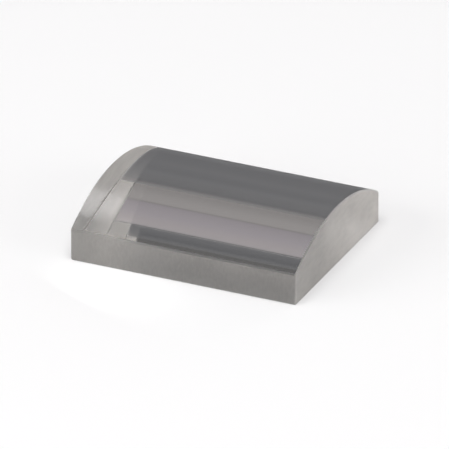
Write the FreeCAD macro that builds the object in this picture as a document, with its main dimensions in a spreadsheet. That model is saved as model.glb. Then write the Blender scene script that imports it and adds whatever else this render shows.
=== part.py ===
import FreeCAD, Part
import Sketcher
import os

# Plano-convex cylindrical lens with a rectangular outline, ground from one block of optical glass.
# The flat (plano) face lies on z = 0 and the convex face bulges towards +Z. The convex face is part
# of a cylinder whose axis runs along X, so the lens bends light in the YZ plane only. The origin is
# the centre of the plano face. All sizes are in millimetres.

NODE = "cylindrical_lens"
PARTS_FOLDER = "parts"

# Driving sizes: alias, value, what it is.
SIZES = [
    ("glass_length", 30.0, "length along the cylinder axis, X"),
    ("glass_width", 25.0, "width across the curve, Y"),
    ("centre_thickness", 7.7, "plano face to the crest of the convex face, Z"),
    ("curve_radius", 23.6, "radius of the convex face"),
    ("convex_bevel", 0.15, "leg of the protective bevel around the convex face"),
    ("plano_bevel", 0.1, "leg of the protective bevel around the plano face"),
    ("corner_bevel", 0.15, "leg of the bevel on the four upright corners"),
]


def make_size_sheet(doc):
    """A spreadsheet that holds the driving sizes, each under its alias."""
    sheet = doc.addObject("Spreadsheet::Sheet", "Sizes")
    for row, (alias, value, meaning) in enumerate(SIZES, start=1):
        sheet.set(f"A{row}", alias)
        sheet.set(f"B{row}", str(value))
        sheet.setAlias(f"B{row}", alias)
        sheet.set(f"C{row}", meaning)
    doc.recompute()
    return sheet


def origin_plane(body, role):
    """One of the body's own origin planes, found by its role."""
    return next(plane for plane in body.Origin.OriginFeatures if plane.Role == role)


def draw_section(body, sheet):
    """The lens section in the YZ plane: plano base, two ground sides and the convex arc."""
    half_width = sheet.glass_width / 2
    centre_z = sheet.centre_thickness - sheet.curve_radius
    side_top = centre_z + (sheet.curve_radius**2 - half_width**2) ** 0.5

    section = body.newObject("Sketcher::SketchObject", "Section")
    section.AttachmentSupport = [(origin_plane(body, "YZ_Plane"), "")]
    section.MapMode = "FlatFace"

    base_left = FreeCAD.Vector(-half_width, 0, 0)
    base_right = FreeCAD.Vector(half_width, 0, 0)
    top_left = FreeCAD.Vector(-half_width, side_top, 0)
    top_right = FreeCAD.Vector(half_width, side_top, 0)
    crest = FreeCAD.Vector(0, sheet.centre_thickness, 0)

    base = section.addGeometry(Part.LineSegment(base_left, base_right))
    right_side = section.addGeometry(Part.LineSegment(base_right, top_right))
    curve = section.addGeometry(Part.Arc(top_right, crest, top_left))
    left_side = section.addGeometry(Part.LineSegment(top_left, base_left))

    start, end, centre = 1, 2, 3
    sketch_origin, y_axis = (-1, 1), -2

    section.addConstraint(Sketcher.Constraint("Coincident", base, end, right_side, start))
    section.addConstraint(Sketcher.Constraint("Coincident", right_side, end, curve, start))
    section.addConstraint(Sketcher.Constraint("Coincident", curve, end, left_side, start))
    section.addConstraint(Sketcher.Constraint("Coincident", left_side, end, base, start))
    section.addConstraint(Sketcher.Constraint("Vertical", right_side))
    section.addConstraint(Sketcher.Constraint("Vertical", left_side))
    section.addConstraint(Sketcher.Constraint("Symmetric", base, start, base, end, *sketch_origin))
    section.addConstraint(Sketcher.Constraint("PointOnObject", curve, centre, y_axis))

    width = section.addConstraint(Sketcher.Constraint("DistanceX", base, start, base, end, half_width * 2))
    radius = section.addConstraint(Sketcher.Constraint("Radius", curve, sheet.curve_radius))
    depth = section.addConstraint(Sketcher.Constraint("DistanceY", curve, centre, *sketch_origin, -centre_z))
    section.renameConstraint(width, "width")
    section.renameConstraint(radius, "radius")
    section.renameConstraint(depth, "centre_depth")
    section.setExpression("Constraints.width", "Sizes.glass_width")
    section.setExpression("Constraints.radius", "Sizes.curve_radius")
    section.setExpression("Constraints.centre_depth", "Sizes.curve_radius - Sizes.centre_thickness")
    return section


def pad_blank(body, section):
    """The generated blank: the section drawn out along the cylinder axis, half each way from X = 0."""
    blank = body.newObject("PartDesign::Pad", "Blank")
    blank.Profile = section
    blank.SideType = "Symmetric"
    blank.setExpression("Length", "Sizes.glass_length")
    section.Visibility = False
    return blank


def edge_names(shape, belongs):
    """The names of the edges for which belongs(edge) is true."""
    return [f"Edge{number}" for number, edge in enumerate(shape.Edges, start=1) if belongs(edge)]


def is_upright(edge):
    """A straight edge that runs along Z, where two ground sides meet."""
    return isinstance(edge.Curve, Part.Line) and bool(round(abs(edge.Curve.Direction.z)))


def bounds(face):
    """A test that an edge belongs to this face."""
    return lambda edge: any(edge.isSame(rim) for rim in face.Edges)


def convex_face_of(shape):
    """The one round face of the lens."""
    return next(face for face in shape.Faces if isinstance(face.Surface, Part.Cylinder))


def plano_face_of(shape):
    """The lowest face, the flat one in z = 0."""
    return min(shape.Faces, key=lambda face: face.CenterOfMass.z)


def add_bevel(doc, body, base, name, size_alias, belongs):
    """A protective bevel with two equal legs on the chosen edges of base."""
    names = edge_names(base.Shape, belongs)
    bevel = body.newObject("PartDesign::Chamfer", name)
    bevel.Base = (base, names)
    bevel.setExpression("Size", f"Sizes.{size_alias}")
    doc.recompute()
    if not bevel.Shape.Volume < base.Shape.Volume:
        raise RuntimeError(f"{name} removed nothing from {base.Name}")
    return bevel


def check(doc, shape):
    """Stops if a feature failed or the lens is not one valid solid."""
    failed = [item.Name for item in doc.Objects if {"Invalid", "Error"} & set(item.State)]
    if failed:
        raise RuntimeError(f"these features failed: {failed}")
    if shape.isNull() or not shape.isValid() or len(shape.Solids) != 1:
        raise RuntimeError("the lens is not one valid solid")


def build():
    doc = FreeCAD.newDocument("CylindricalLens")
    sheet = make_size_sheet(doc)
    body = doc.addObject("PartDesign::Body", "Lens")
    body.Label = NODE

    section = draw_section(body, sheet)
    blank = pad_blank(body, section)
    doc.recompute()

    corners = add_bevel(doc, body, blank, "CornerBevel", "corner_bevel", is_upright)
    plano_rim = bounds(plano_face_of(corners.Shape))
    plano = add_bevel(doc, body, corners, "PlanoBevel", "plano_bevel", plano_rim)
    convex_rim = bounds(convex_face_of(plano.Shape))
    add_bevel(doc, body, plano, "ConvexBevel", "convex_bevel", convex_rim)
    doc.recompute()
    check(doc, body.Shape)

    os.makedirs(PARTS_FOLDER, exist_ok=True)
    body.Shape.exportStep(f"{PARTS_FOLDER}/{NODE}.step")

    box = body.Shape.optimalBoundingBox()
    faces = len(body.Shape.Faces)
    print(f"{NODE}: {box.XLength:.2f} x {box.YLength:.2f} x {box.ZLength:.2f} mm, {faces} faces")
    print(f"volume {body.Shape.Volume:.1f} mm3")


build()
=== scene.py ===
import math
import bmesh
import bpy
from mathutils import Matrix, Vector


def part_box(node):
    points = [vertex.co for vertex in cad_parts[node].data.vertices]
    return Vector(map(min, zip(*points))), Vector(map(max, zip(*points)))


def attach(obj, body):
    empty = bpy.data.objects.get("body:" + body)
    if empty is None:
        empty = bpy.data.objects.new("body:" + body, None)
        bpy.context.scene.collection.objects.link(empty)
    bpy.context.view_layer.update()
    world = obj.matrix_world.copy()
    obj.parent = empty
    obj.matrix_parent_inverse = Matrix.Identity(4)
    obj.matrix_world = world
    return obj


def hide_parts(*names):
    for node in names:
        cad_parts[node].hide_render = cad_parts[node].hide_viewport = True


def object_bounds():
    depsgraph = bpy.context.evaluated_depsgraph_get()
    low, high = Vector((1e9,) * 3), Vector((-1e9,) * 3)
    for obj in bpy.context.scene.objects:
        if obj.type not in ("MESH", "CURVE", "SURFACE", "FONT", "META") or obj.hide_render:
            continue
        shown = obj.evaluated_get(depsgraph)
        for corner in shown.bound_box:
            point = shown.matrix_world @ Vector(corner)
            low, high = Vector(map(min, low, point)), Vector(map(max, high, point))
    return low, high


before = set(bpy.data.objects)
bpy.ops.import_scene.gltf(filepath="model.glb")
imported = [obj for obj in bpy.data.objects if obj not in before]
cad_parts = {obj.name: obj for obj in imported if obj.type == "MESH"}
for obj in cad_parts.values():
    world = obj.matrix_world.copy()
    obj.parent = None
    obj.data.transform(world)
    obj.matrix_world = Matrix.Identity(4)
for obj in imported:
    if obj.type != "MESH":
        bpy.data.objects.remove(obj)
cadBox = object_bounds()
mm = 0.001  # every length below is in metres
print("frame loaded, box of the lens", [round(side / mm, 2) for side in cadBox[1] - cadBox[0]], "mm")


# Shared helpers

def linearColour(hexCode):
    channels = [int(hexCode[i:i + 2], 16) / 255 for i in (1, 3, 5)]
    linear = [c / 12.92 if c <= 0.04045 else ((c + 0.055) / 1.055) ** 2.4 for c in channels]
    return (*linear, 1.0)


def addNode(tree, kind, settings=None, **inputs):
    # settings are the node's own properties, inputs are its sockets: a value, or a socket to link from
    node = tree.nodes.new("ShaderNode" + kind)
    for name, value in (settings or {}).items():
        setattr(node, name, value)
    for name, value in inputs.items():
        socket = node.inputs[int(name[1:])] if name[1:].isdigit() else node.inputs[name.replace("_", " ")]
        if isinstance(value, bpy.types.NodeSocket):
            tree.links.new(value, socket)
        else:
            socket.default_value = value
    return node


def startMaterial(name):
    material = bpy.data.materials.new(name)
    material.use_nodes = True
    material.node_tree.nodes.clear()
    return material, material.node_tree


def deselectAll():
    if bpy.context.object and bpy.context.object.mode == "EDIT":
        bpy.ops.mesh.select_all(action="DESELECT")
    else:
        bpy.ops.object.select_all(action="DESELECT")


# Camera, at the photograph's viewing angle

photoCamera = {
    "azimuth": 24.27,  # degrees, 0 looks along +Y
    "elevation": 26.46,  # degrees above the horizon
    "distance": 1.627,  # m, a long lens from far away, so the edges stay nearly parallel
    "focalLength": 1069.9,  # mm
    "sensorWidth": 36.0,  # mm
    "aimRight": -0.0803 * mm,  # the middle of the frame lies a little below the middle of the lens
    "aimUp": -1.5001 * mm,
    "nearest": 0.1,  # m, what shows lies between these two distances
    "farthest": 10.0,
}


def placeCamera(centre):
    azimuth, elevation = math.radians(photoCamera["azimuth"]), math.radians(photoCamera["elevation"])
    right = Vector((math.cos(azimuth), math.sin(azimuth), 0))
    back = Vector((math.sin(azimuth) * math.cos(elevation),
                   -math.cos(azimuth) * math.cos(elevation), math.sin(elevation)))
    up = back.cross(right)
    aim = centre + right * photoCamera["aimRight"] + up * photoCamera["aimUp"]
    data = bpy.data.cameras.new("photoCamera")
    data.lens = photoCamera["focalLength"]
    data.sensor_width = photoCamera["sensorWidth"]
    data.clip_start, data.clip_end = photoCamera["nearest"], photoCamera["farthest"]
    camera = bpy.data.objects.new("photoCamera", data)
    bpy.context.scene.collection.objects.link(camera)
    camera.location = aim + back * photoCamera["distance"]
    camera.rotation_euler = (-back).to_track_quat("-Z", "Y").to_euler()
    bpy.context.scene.camera = camera


placeCamera((cadBox[0] + cadBox[1]) / 2)
print("camera placed")


# Finishes of the glass

glassIndex = 1.517  # crown glass

polishedGlass = {
    "tint": "#FDFDFC",
    "coating": 0.92,  # share of its outer reflection that the anti-reflection coating takes away
    "frontShade": "#BCBCBE",  # what a face lets through of the light that falls under the lens
    "backShade": "#B3B3B5",
    "frontShadeLine": 3.0 * mm,  # Y where the front shade ends
    "backShadeLine": 9.0 * mm,  # and where the back one begins
    "smoothest": 0.0,  # roughness where wiping left nothing
    "roughest": 0.012,  # and where it left the most
    "wipeWidth": 3.0 * mm,
    "wipeStretch": (0.3, 1.0, 1.0),  # the marks are three times as long along the lens
    "wipeFrom": 0.45,  # level of the noise where a mark starts
    "wipeFull": 0.75,
}

groundGlass = {
    # the ground glass's own grey, with painted shade at the front and painted light at the back
    "frontShadedColour": "#D2D0CC",
    "backLitColour": "#FBF7F1",  # painted light: paler towards the back, as if lit through the back side
    "frontLine": -9.0 * mm,  # Y where the painted shade of the front ends
    "backLine": 5.0 * mm,  # and where the back one begins
    "fleck": "#F1F1F1",  # multiplies the colour where the grind is a touch finer
    "fleckFrom": 0.16,  # level of the strokes where a fleck starts
    "fleckFull": 0.36,
    "frontClearness": 0.78,  # share of the light that goes on into the body
    "backClearness": 0.64,
    "glow": 0.35,  # share that is scattered through the ground layer
    "roughness": 0.37,
    "gritSize": 0.3 * mm,  # the real grit is 0.03 mm, drawn ten times as coarse to show
    "gritDepth": 0.01 * mm,
    "gritStrength": 0.2,
    "strokeWidth": 0.35 * mm,  # strokes of the grinding, ten times as coarse too
    "strokeStretch": (1.0, 0.2, 0.5),  # twice as long upright, and five times across the ends
    "smudgeSize": 4.0 * mm,
}

bevelGlass = {
    "sideShadedColour": "#BEBCB8",  # painted shade: greyer along the two long edges, which catch more light from above
    "endColour": "#E4E2DE",  # paler around the two ends
    "fleck": "#F1F1F1",
    "sideClearness": 0.93,
    "endClearness": 0.78,
    "endFrom": 0.2 * mm,  # in from an end, where the look of the sides gives way to that of the end
    "endFull": 0.15 * mm,
    "footClearness": 0.0,  # around the plano face, which is stoned more coarsely
    "footHeight": 0.2 * mm,
    "glow": 0.12,
    "roughness": 0.35,
    "gritSize": 0.04 * mm,  # as fine as real grit, since a bevel is only 0.15 mm wide
    "gritDepth": 0.01 * mm,
    "gritStrength": 0.1,
}


def letLightUnder(tree, shader):
    # light falls through the lens on to what it lies on, a little less of it at the back
    path = addNode(tree, "LightPath")
    place = addNode(tree, "TexCoord")
    parts = addNode(tree, "SeparateXYZ", Vector=place.outputs["Object"])
    forward = addNode(tree, "MapRange", Value=parts.outputs["Y"], From_Min=polishedGlass["backShadeLine"],
                      From_Max=polishedGlass["frontShadeLine"])
    shade = addNode(tree, "Mix", {"data_type": "RGBA"}, _0=forward.outputs[0],
                    _6=linearColour(polishedGlass["backShade"]), _7=linearColour(polishedGlass["frontShade"]))
    passing = addNode(tree, "BsdfTransparent", Color=shade.outputs[2])
    mix = addNode(tree, "MixShader", _0=path.outputs["Is Shadow Ray"], _1=shader.outputs[0],
                  _2=passing.outputs[0])
    addNode(tree, "OutputMaterial", Surface=mix.outputs[0])


def makePolishedGlass():
    # Crown glass, polished and coated: clear, with faint outer reflections and a breath of haze from wiping
    material, tree = startMaterial("polishedCrownGlass")
    place = addNode(tree, "TexCoord")
    stretched = addNode(tree, "Mapping", Vector=place.outputs["Object"], Scale=polishedGlass["wipeStretch"])
    haze = addNode(tree, "TexNoise", Vector=stretched.outputs[0],
                   Scale=1 / polishedGlass["wipeWidth"], Detail=3.0)
    roughness = addNode(tree, "MapRange", Value=haze.outputs[0],
                        From_Min=polishedGlass["wipeFrom"], From_Max=polishedGlass["wipeFull"],
                        To_Min=polishedGlass["smoothest"], To_Max=polishedGlass["roughest"])
    tint = linearColour(polishedGlass["tint"])
    shader = addNode(tree, "BsdfPrincipled", Base_Color=tint, Roughness=roughness.outputs[0],
                     IOR=glassIndex, Transmission_Weight=1.0)
    passed = addNode(tree, "BsdfRefraction", Color=tint, Roughness=roughness.outputs[0], IOR=glassIndex)
    # the coating swaps reflecting glass for glass that only refracts, for light from outside alone
    inside = addNode(tree, "NewGeometry").outputs["Backfacing"]
    share = addNode(tree, "MapRange", Value=inside, To_Min=polishedGlass["coating"], To_Max=0.0)
    coated = addNode(tree, "MixShader", _0=share.outputs[0], _1=shader.outputs[0], _2=passed.outputs[0])
    letLightUnder(tree, coated)
    return material


def frostGlass(tree, colour, clearness, normal, finish):
    # a Principled glass, part see-through, mixed with light scattered through its ground skin
    shader = addNode(tree, "BsdfPrincipled", Base_Color=colour, Roughness=finish["roughness"],
                     IOR=glassIndex, Transmission_Weight=clearness, Normal=normal)
    through = addNode(tree, "BsdfTranslucent", Color=colour, Normal=normal)
    frosted = addNode(tree, "MixShader", _0=finish["glow"], _1=shader.outputs[0], _2=through.outputs[0])
    letLightUnder(tree, frosted)


def addGrit(tree, place, finish):
    grit = addNode(tree, "TexNoise", Vector=place, Scale=1 / finish["gritSize"], Detail=2.0)
    bump = addNode(tree, "Bump", Height=grit.outputs[0], Strength=finish["gritStrength"],
                   Distance=finish["gritDepth"])
    return bump.outputs[0]


def makeGroundGlass():
    # Crown glass, fine ground: frosted grey, half see-through, with faint short strokes of the grinding, and
    # painted light that pales it towards the back
    material, tree = startMaterial("groundCrownGlass")
    place = addNode(tree, "TexCoord").outputs["Object"]
    stretched = addNode(tree, "Mapping", Vector=place, Scale=groundGlass["strokeStretch"])
    stroke = addNode(tree, "TexNoise", Vector=stretched.outputs[0],
                     Scale=1 / groundGlass["strokeWidth"], Detail=3.0)
    smudge = addNode(tree, "TexNoise", Vector=place, Scale=1 / groundGlass["smudgeSize"], Detail=2.0)
    marks = addNode(tree, "Math", {"operation": "MULTIPLY"}, _0=stroke.outputs[0], _1=smudge.outputs[0])
    flecks = addNode(tree, "MapRange", Value=marks.outputs[0], From_Min=groundGlass["fleckFrom"],
                     From_Max=groundGlass["fleckFull"])
    parts = addNode(tree, "SeparateXYZ", Vector=place)
    depth = addNode(tree, "MapRange", {"interpolation_type": "SMOOTHSTEP"}, Value=parts.outputs["Y"],
                    From_Min=groundGlass["frontLine"], From_Max=groundGlass["backLine"])
    # painted light and shade: the colour goes from darker at the front to paler at the back
    groundColourWithPaintedLight = addNode(tree, "Mix", {"data_type": "RGBA"}, _0=depth.outputs[0],
                   _6=linearColour(groundGlass["frontShadedColour"]), _7=linearColour(groundGlass["backLitColour"]))
    colour = addNode(tree, "Mix", {"data_type": "RGBA", "blend_type": "MULTIPLY"}, _0=flecks.outputs[0],
                     _6=groundColourWithPaintedLight.outputs[2], _7=linearColour(groundGlass["fleck"]))
    clearness = addNode(tree, "MapRange", Value=depth.outputs[0], To_Min=groundGlass["frontClearness"],
                        To_Max=groundGlass["backClearness"])
    grit = addGrit(tree, place, groundGlass)
    frostGlass(tree, colour.outputs[2], clearness.outputs[0], grit, groundGlass)
    return material


def makeBevelGlass():
    # Crown glass, bevels stoned by hand: finer and clearer than the sides, so they read as thin lines,
    # grey with painted shade along the sides and paler around the ends
    material, tree = startMaterial("stonedCrownGlassBevel")
    place = addNode(tree, "TexCoord").outputs["Object"]
    parts = addNode(tree, "SeparateXYZ", Vector=place)
    fromMiddle = addNode(tree, "Math", {"operation": "ABSOLUTE"}, _0=parts.outputs["X"])
    end = cadBox[1].x
    atEnd = addNode(tree, "MapRange", Value=fromMiddle.outputs[0], From_Min=end - bevelGlass["endFrom"],
                    From_Max=end - bevelGlass["endFull"]).outputs[0]
    # painted shade: the bevels along the long edges are greyer than those around the ends
    colour = addNode(tree, "Mix", {"data_type": "RGBA"}, _0=atEnd, _6=linearColour(bevelGlass["sideShadedColour"]),
                     _7=linearColour(bevelGlass["endColour"]))
    scratch = addNode(tree, "TexNoise", Vector=place, Scale=1 / bevelGlass["gritSize"], Detail=3.0)
    flecked = addNode(tree, "Mix", {"data_type": "RGBA", "blend_type": "MULTIPLY"}, _0=scratch.outputs[0],
                      _6=colour.outputs[2], _7=linearColour(bevelGlass["fleck"]))
    above = addNode(tree, "MapRange", Value=atEnd, To_Min=bevelGlass["sideClearness"],
                    To_Max=bevelGlass["endClearness"])
    clearness = addNode(tree, "MapRange", Value=parts.outputs["Z"], From_Max=bevelGlass["footHeight"],
                        To_Min=bevelGlass["footClearness"], To_Max=above.outputs[0])
    grit = addGrit(tree, place, bevelGlass)
    frostGlass(tree, flecked.outputs[2], clearness.outputs[0], grit, bevelGlass)
    return material


# The lens

lensShape = {
    "curveRadius": 23.6 * mm,
    "facets": 360,  # one each degree, 0.4 mm wide, so that even the last is wider than its bevel
    "convexBevel": 0.15 * mm,
    "planoBevel": 0.1 * mm,
    "cornerBevel": 0.15 * mm,
    "smoothAngle": 15.0,  # degrees, under the turn at a bevel
    "cutTolerance": 0.0001 * mm,
}
polished, ground, bevelled = 0, 1, 2  # the order of the lens's materials
mostly = 0.7  # an edge or a normal points mostly along an axis when this much of its length does


def cutAway(point, outward):
    bpy.ops.mesh.select_all(action="SELECT")
    bpy.ops.mesh.bisect(plane_co=point, plane_no=outward, use_fill=True, clear_outer=True,
                        threshold=lensShape["cutTolerance"])


def bevelWhere(belongs, leg):
    deselectAll()
    mesh = bmesh.from_edit_mesh(bpy.context.object.data)
    for edge in mesh.edges:
        edge.select_set(belongs(edge))
    bmesh.update_edit_mesh(bpy.context.object.data)
    bpy.ops.mesh.bevel(offset=leg, offset_type="OFFSET", segments=1, affect="EDGES", material=bevelled)


def isUpright(edge):
    run = (edge.verts[0].co - edge.verts[1].co).normalized()
    return abs(run.z) > mostly


def isRim(facing):
    # an edge between the polished face that looks up, 1, or down, -1, and any other face
    def belongs(edge):
        inside = [face for face in edge.link_faces
                  if face.material_index == polished and face.normal.z * facing > mostly]
        return len(inside) == 1
    return belongs


def makeLens(low, high):
    deselectAll()
    radius = lensShape["curveRadius"]
    bpy.ops.mesh.primitive_cylinder_add(vertices=lensShape["facets"], radius=radius, depth=high.x - low.x,
                                        location=(0, 0, high.z - radius), rotation=(0, math.pi / 2, 0))
    lens = bpy.context.object
    lens.name = "cylindricalLens"
    bpy.ops.object.transform_apply(location=True, rotation=True, scale=True)
    for material in (makePolishedGlass(), makeGroundGlass(), makeBevelGlass()):
        lens.data.materials.append(material)

    bpy.ops.object.mode_set(mode="EDIT")
    bpy.context.tool_settings.mesh_select_mode = (False, True, False)
    cutAway((0, 0, low.z), (0, 0, -1))
    cutAway((0, low.y, 0), (0, -1, 0))
    cutAway((0, high.y, 0), (0, 1, 0))
    mesh = bmesh.from_edit_mesh(lens.data)
    for face in mesh.faces:
        sideways = max(abs(face.normal.x), abs(face.normal.y)) > mostly
        face.material_index = ground if sideways else polished
    bmesh.update_edit_mesh(lens.data)
    bevelWhere(isUpright, lensShape["cornerBevel"])
    bevelWhere(isRim(-1), lensShape["planoBevel"])
    bevelWhere(isRim(1), lensShape["convexBevel"])
    bpy.ops.object.mode_set(mode="OBJECT")
    bpy.ops.object.shade_smooth_by_angle(angle=math.radians(lensShape["smoothAngle"]))
    return lens


lens = makeLens(*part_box("cylindrical_lens"))
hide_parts("cylindrical_lens")
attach(lens, "root")
print("lens made,", len(lens.data.polygons), "faces")


# Floor and light

studio = {
    "floorRadius": 1.5,  # m
    "floorSides": 96,
    "floorGap": 0.05 * mm,  # air under the plano face, so that it reflects as a free surface does
    "floorColour": "#FBFBFB",
    "farShadeColour": "#6E6E6E",  # painted shade: away from the lens the pale sheet darkens to grey, which the glass reflects as shade
    "paleRadius": 66.0 * mm,
    "farRadius": 170.0 * mm,
}

# faint tints of the walls, by red, green and blue
pink, lilac, warm = (1.045, 0.96, 0.99), (1.04, 0.96, 1.025), (1.04, 0.985, 0.98)
dun, cool = (1.01, 0.985, 0.99), (0.99, 0.99, 1.03)
roomLevels = [  # height above the horizon in degrees, level, tint
    (0.0, 0.33, pink), (3.0, 0.42, pink), (10.0, 0.367, pink), (17.0, 0.319, lilac),
    (22.0, 0.288, lilac), (24.3, 0.268, lilac), (24.9, 0.215, warm), (25.5, 0.29, warm),
    (29.0, 0.282, warm), (33.0, 0.243, warm), (36.2, 0.245, warm), (36.9, 0.08, dun),
    (38.0, 0.13, dun), (40.3, 0.12, dun), (41.3, 0.125, dun), (42.5, 0.18, dun),
    (44.2, 0.15, cool), (45.2, 0.04, cool), (46.8, 0.03, cool), (48.5, 0.10, cool),
    (49.8, 0.12, cool), (50.6, 0.24, warm), (52.0, 0.24, warm), (54.0, 0.11, cool),
    (90.0, 0.25, cool),
]

lamps = {  # azimuth and elevation in degrees, distance and size in m, power in W
    "ceilingSoftbox": (20.0, 75.0, 1.5, 1.2, 16.7),
    "rightSoftbox": (88.0, 14.0, 0.8, 0.6, 1.6),
    "leftSoftbox": (-42.0, 14.0, 0.8, 0.8, 3.3),
    "rearSoftbox": (165.0, 12.0, 0.8, 0.5, 0.65),
    "frontCard": (-25.0, 14.0, 0.0233, 0.006, 0.00025),  # close up, pales the left of the front side
}


def makeFloor():
    deselectAll()
    bpy.ops.mesh.primitive_circle_add(vertices=studio["floorSides"], radius=studio["floorRadius"],
                                      fill_type="NGON", location=(0, 0, cadBox[0].z - studio["floorGap"]))
    floor = bpy.context.object
    floor.name = "floor"
    material, tree = startMaterial("mattWhiteFloor")
    place = addNode(tree, "NewGeometry")
    distance = addNode(tree, "VectorMath", {"operation": "LENGTH"}, _0=place.outputs["Position"])
    # painted shade: the floor darkens to grey away from the lens
    farShade = addNode(tree, "MapRange", {"interpolation_type": "SMOOTHSTEP"}, Value=distance.outputs["Value"],
                   From_Min=studio["paleRadius"], From_Max=studio["farRadius"])
    colour = addNode(tree, "Mix", {"data_type": "RGBA"}, _0=farShade.outputs[0],
                     _6=linearColour(studio["floorColour"]), _7=linearColour(studio["farShadeColour"]))
    shader = addNode(tree, "BsdfDiffuse", Color=colour.outputs[2])
    addNode(tree, "OutputMaterial", Surface=shader.outputs[0])
    floor.data.materials.append(material)


def makeRoom():
    # a dim room, whose walls change their level with height
    world = bpy.data.worlds.new("studioRoom")
    bpy.context.scene.world = world
    world.use_nodes = True
    tree = world.node_tree
    tree.nodes.clear()
    place = addNode(tree, "TexCoord")
    parts = addNode(tree, "SeparateXYZ", Vector=place.outputs["Generated"])
    ramp = addNode(tree, "ValToRGB", Fac=parts.outputs["Z"])
    stops = ramp.color_ramp.elements
    for height, level, tint in roomLevels[1:-1]:  # the ramp has its first and last stop already
        stops.new(math.sin(math.radians(height)))
    for stop, (height, level, tint) in zip(stops, roomLevels):
        stop.color = (*[level * part for part in tint], 1.0)
    background = addNode(tree, "Background", Color=ramp.outputs[0])
    addNode(tree, "OutputWorld", Surface=background.outputs[0])


def hangLamp(name, azimuth, elevation, distance, size, power):
    # azimuth is counted as for the camera, so a lamp at the camera's own azimuth stands behind it
    turn, rise = math.radians(azimuth), math.radians(elevation)
    away = Vector((math.sin(turn) * math.cos(rise), -math.cos(turn) * math.cos(rise), math.sin(rise)))
    data = bpy.data.lights.new(name, "AREA")
    data.shape = "DISK"
    data.size = size
    data.energy = power
    lamp = bpy.data.objects.new(name, data)
    bpy.context.scene.collection.objects.link(lamp)
    lamp.location = away * distance
    lamp.rotation_euler = away.to_track_quat("Z", "Y").to_euler()


makeFloor()
makeRoom()
for name, lamp in lamps.items():
    hangLamp(name, *lamp)
print("floor and light made")

scene = bpy.context.scene
scene.view_settings.view_transform = "Standard"
scene.cycles.caustics_reflective = False
scene.cycles.caustics_refractive = False
